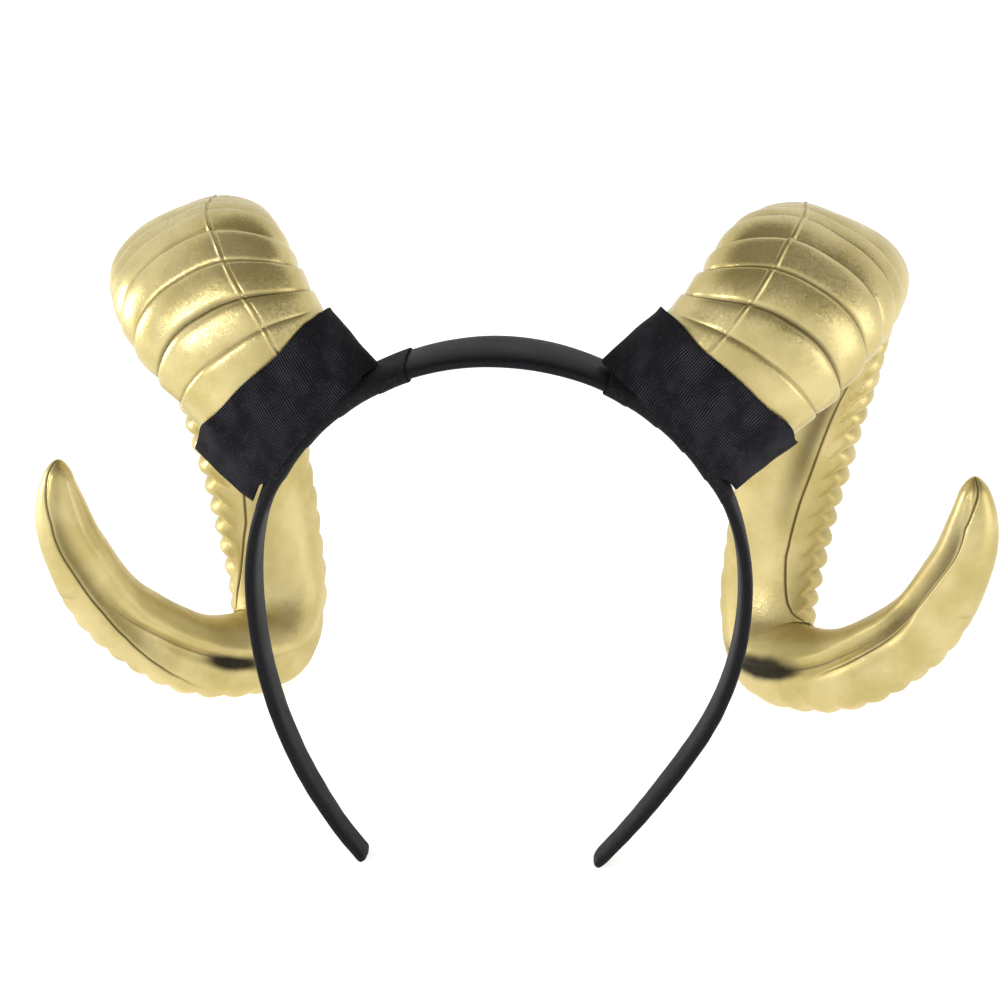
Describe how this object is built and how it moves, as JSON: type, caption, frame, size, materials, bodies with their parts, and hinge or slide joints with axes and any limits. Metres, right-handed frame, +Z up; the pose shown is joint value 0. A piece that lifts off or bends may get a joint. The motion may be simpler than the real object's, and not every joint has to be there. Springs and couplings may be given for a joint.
{
  "type": "ram horn headband",
  "caption": "Costume headband with curled, ribbed ram horns, held to a satin-covered hoop by wide ribbon cuffs.",
  "frame": {"origin": "on the surface it rests on, at the middle of its footprint box", "axes": "+X to the right in the picture, across both horns, +Y towards the back of the head, +Z up from the surface"},
  "size_m": [0.2712, 0.1282, 0.1717],
  "materials": {
    "satin": "black satin with a soft sheen",
    "band_ribbon": "matt black ribbed ribbon",
    "cuff_ribbon": "matt black ribbed ribbon",
    "gold_foam": "satin pale gold metallic paint on moulded foam"
  },
  "bodies": {
    "root": {"headband": "satin", "band_binding_left": "band_ribbon", "band_binding_right": "band_ribbon", "horn_cuff_left": "cuff_ribbon", "horn_cuff_right": "cuff_ribbon", "horn_left": "gold_foam", "horn_right": "gold_foam"}
  },
  "joints": []
}
